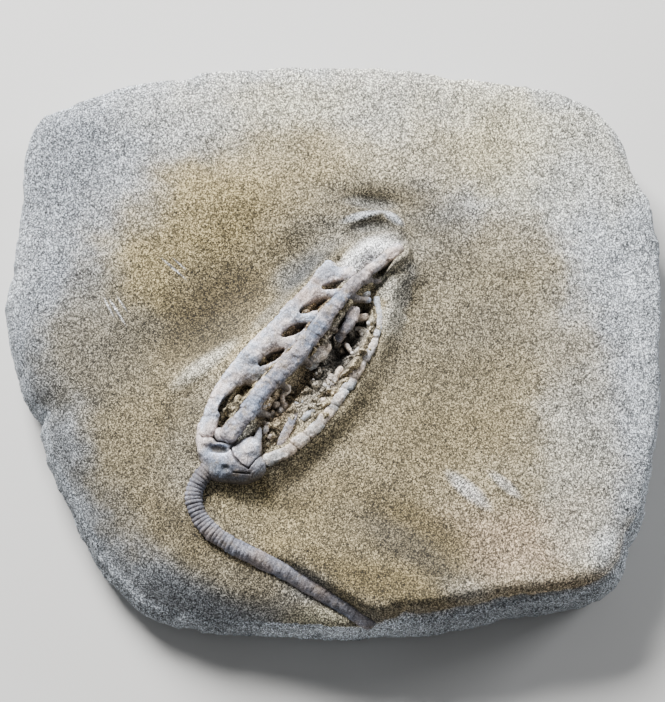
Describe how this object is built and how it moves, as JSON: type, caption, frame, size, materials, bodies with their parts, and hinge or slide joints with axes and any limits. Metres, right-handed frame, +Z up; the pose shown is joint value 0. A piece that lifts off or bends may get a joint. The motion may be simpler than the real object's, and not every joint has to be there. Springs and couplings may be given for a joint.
{
  "type": "crinoid fossil in its rock matrix",
  "caption": "Sea lily fossil, a crown of arms on a curved segmented stem, lying in a rounded flat-based piece of siltstone.",
  "frame": {"origin": "centre of the bounding box, at the height of the flat underside", "axes": "+Z up out of the fossil face; +Y from the edge where the stem runs out to the far edge; +X to the right, the side that the crown leans to"},
  "size_m": [0.1055, 0.0929, 0.0204],
  "materials": {
    "siltstone": "fine grained, matt, tan in the middle and blue-grey at the margins",
    "fossil_stem": "calcite, purple-grey with pale specks, matt",
    "fossil_cup": "calcite, blue-grey, matt",
    "fossil_arms": "calcite, warm grey, matt"
  },
  "bodies": {
    "root": {"matrix": "siltstone", "stem": "fossil_stem", "calyx": "fossil_cup", "arm_left": "fossil_arms", "arm_middle": "fossil_arms", "arm_right": "fossil_arms", "inner_arm_upper": "fossil_arms", "inner_arm_lower": "fossil_arms"}
  },
  "joints": []
}
